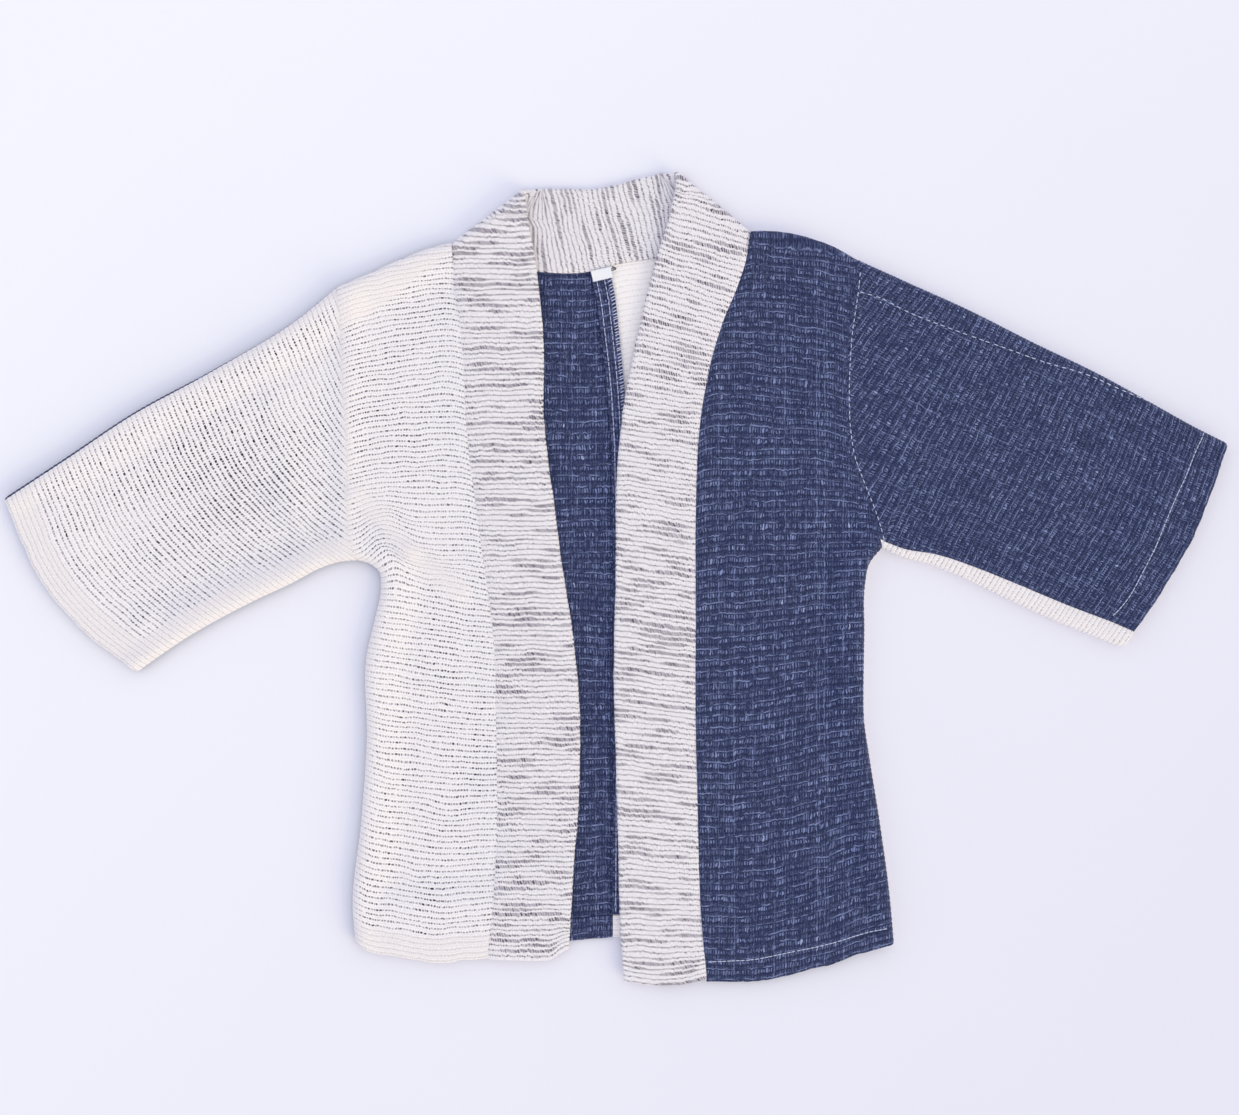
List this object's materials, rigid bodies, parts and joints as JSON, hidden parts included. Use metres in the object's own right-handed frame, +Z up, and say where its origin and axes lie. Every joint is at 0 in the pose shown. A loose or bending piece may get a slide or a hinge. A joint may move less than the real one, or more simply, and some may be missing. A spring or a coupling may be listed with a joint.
{
  "type": "kimono jacket",
  "caption": "Open-front kimono jacket in colour-blocked corded cotton, laid flat: wide straight sleeves and one long doubled neckband that runs down both front edges.",
  "frame": {"origin": "middle of the bounding box in X and Y, at the height of the surface the jacket lies on", "axes": "+X towards the wearer's left sleeve, +Y from the hem to the neck, +Z up, out of the front of the jacket"},
  "size_m": [0.7808, 0.5196, 0.0104],
  "materials": {
    "cream_cotton": "corded hand-woven cotton, matt",
    "navy_cotton": "corded hand-woven cotton with paler slubs, matt",
    "striped_cotton": "corded hand-woven cotton with irregular grey-purple cords, matt",
    "label_tape": "bare woven tape"
  },
  "bodies": {
    "root": {"back_left_panel": "cream_cotton", "back_right_panel": "navy_cotton", "back_seam_allowance": "navy_cotton", "front_left_panel": "navy_cotton", "front_right_panel": "cream_cotton", "neckband": "striped_cotton", "size_label": "label_tape", "sleeve_left_back": "cream_cotton", "sleeve_left_front": "navy_cotton", "sleeve_right_back": "navy_cotton", "sleeve_right_front": "cream_cotton"}
  },
  "joints": []
}
